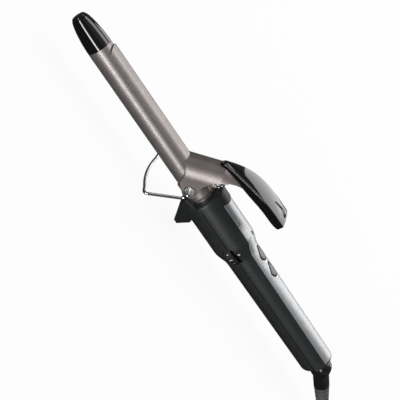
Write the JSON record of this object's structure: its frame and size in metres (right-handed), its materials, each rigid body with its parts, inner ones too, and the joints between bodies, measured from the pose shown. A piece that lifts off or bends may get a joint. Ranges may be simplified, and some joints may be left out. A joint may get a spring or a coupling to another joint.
{
  "type": "curling iron",
  "caption": "Curling iron: spring clamp on a heated barrel, sculpted handle with temperature wheel and buttons, wire rest stand, ball-swivel mains cord.",
  "frame": {"origin": "where the clamp's hinge axis crosses the barrel's axis", "axes": "+X along the barrel's axis towards the cord, -X towards the tip; +Z towards the clamp's lever; Y along the hinge axis"},
  "size_m": [0.49, 0.0912, 0.0766],
  "materials": {
    "barrel_metal": "satin taupe-bronze coated metal",
    "lever_metal": "satin taupe-bronze coated steel sheet",
    "gloss_black": "glossy black moulding",
    "satin_black": "satin black moulding",
    "dial_black": "satin black wheel with white numerals",
    "trim_silver": "satin silver coated trim",
    "screw_metal": "bright nickel plate",
    "spring_steel": "bright spring wire",
    "heater_ceramic": "white ceramic heater body",
    "spreader_alu": "plain extruded aluminium",
    "sensor_bead": "glass-coated sensor bead",
    "lead_sleeve": "white heat-proof sleeving",
    "lamp_red": "dark tinted lamp lens, unlit",
    "board_green": "green laminate",
    "switch_black": "moulded electrical part",
    "carrier_resin": "unfilled resin",
    "cord_pvc": "matt black cord sheath",
    "relief_rubber": "satin black moulded rubber",
    "tie_strap": "black hook-and-loop strap",
    "plug_moulding": "satin black moulded plug",
    "pin_brass": "nickel-plated brass",
    "button_grey": "satin grey moulding"
  },
  "bodies": {
    "handle": {"barrel_tube": "barrel_metal", "tip_cap": "gloss_black", "heater_core": "heater_ceramic", "heat_spreaders": "spreader_alu", "thermistor": "sensor_bead", "heater_leads": "lead_sleeve", "barrel_root": "lever_metal", "pivot_screws": "screw_metal", "collar": "satin_black", "lower_shell": "satin_black", "upper_shell": "satin_black", "top_trim": "trim_silver", "lamp_lens": "lamp_red", "circuit_board": "board_green", "tact_switches": "switch_black", "wheel_pot": "switch_black", "shell_screws": "spring_steel", "contact_carrier": "carrier_resin", "clamp_spring": "spring_steel", "cord_lead": "cord_pvc", "cord_coil": "cord_pvc", "cord_tail": "cord_pvc", "cord_tie": "tie_strap", "plug_body": "plug_moulding", "plug_pins": "pin_brass"},
    "clamp": {"clamp_spoon": "barrel_metal", "lever_arm": "lever_metal", "thumb_rest": "gloss_black", "thumb_rivet": "screw_metal"},
    "stand": {"stand_wire": "screw_metal"},
    "dial": {"dial_wheel": "dial_black"},
    "power": {"power_button": "button_grey"},
    "mode": {"mode_button": "button_grey"},
    "swivel": {"swivel_ball": "gloss_black", "strain_relief": "relief_rubber"}
  },
  "joints": [
    {"name": "clamp_hinge", "type": "hinge", "parent": "handle", "child": "clamp", "pos_m": [0, 0, 0], "axis": [0, 1, 0], "range_deg": [0, 18], "stiffness_Nm_per_rad": 0.64, "springref_deg": -17.76, "deforming": ["clamp_spring"]},
    {"name": "stand_hinge", "type": "hinge", "parent": "handle", "child": "stand", "pos_m": [0, 0, 0], "axis": [0, 1, 0], "range_deg": [-64, 29]},
    {"name": "dial_turn", "type": "hinge", "parent": "handle", "child": "dial", "pos_m": [0.062, -0.00802, -0.0016], "axis": [0, 0, 1], "range_deg": [-140, 140]},
    {"name": "power_press", "type": "slide", "parent": "handle", "child": "power", "axis": [0, 0, -1], "range_m": [0, 0.0008], "stiffness_N_per_m": 1200, "springref_m": -0.0003},
    {"name": "mode_press", "type": "slide", "parent": "handle", "child": "mode", "axis": [0, 0, -1], "range_m": [0, 0.0008], "stiffness_N_per_m": 1200, "springref_m": -0.0003},
    {"name": "cord_swivel", "type": "hinge", "parent": "handle", "child": "swivel", "pos_m": [0.1934, 0, 0], "axis": [0.891, 0, -0.454], "continuous": true}
  ]
}
